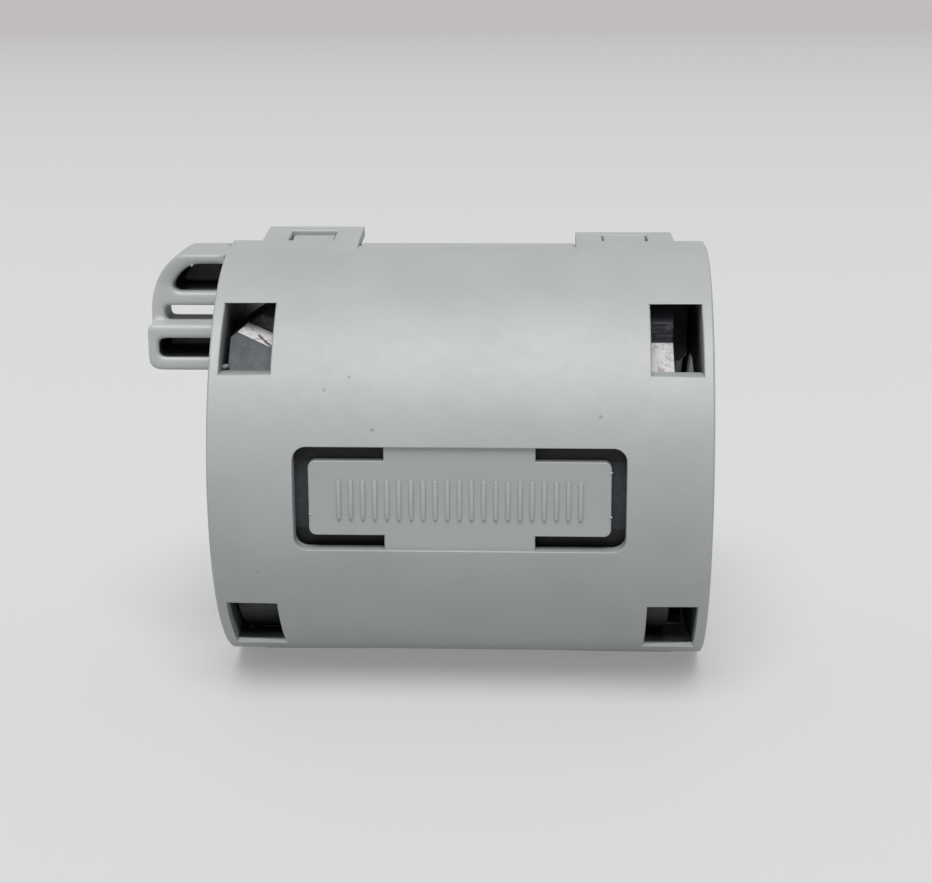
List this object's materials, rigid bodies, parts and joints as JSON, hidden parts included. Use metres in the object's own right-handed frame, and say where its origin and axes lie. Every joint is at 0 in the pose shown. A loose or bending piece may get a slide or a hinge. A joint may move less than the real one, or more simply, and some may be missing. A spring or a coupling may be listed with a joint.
{
  "type": "clip-on ferrite bead",
  "caption": "Hinged plastic case with snap latches and a cable-tie holder that closes a split ferrite sleeve round a cable to damp interference.",
  "frame": {"origin": "on the axis of the cable bore, at the middle of the case's length", "axes": "+X along the cable bore, away from the tie holder; -Y out of the half that carries the latch straps and the holder; +Z from the hinge to the latches"},
  "size_m": [0.04, 0.03, 0.031],
  "materials": {
    "case_plastic": "pale grey, slightly satin",
    "ferrite": "sintered ferrite, dark grey and matt"
  },
  "bodies": {
    "front_half": {"front_shell": "case_plastic", "front_core_half": "ferrite", "hinge_web_left": "case_plastic", "hinge_web_right": "case_plastic"},
    "back_half": {"back_shell": "case_plastic", "back_core_half": "ferrite"}
  },
  "joints": [
    {"name": "case_hinge", "type": "hinge", "parent": "front_half", "child": "back_half", "pos_m": [0, 0, -0.01493], "axis": [-1, 0, 0], "range_deg": [0, 150], "deforming": ["hinge_web_left", "hinge_web_right"]}
  ]
}
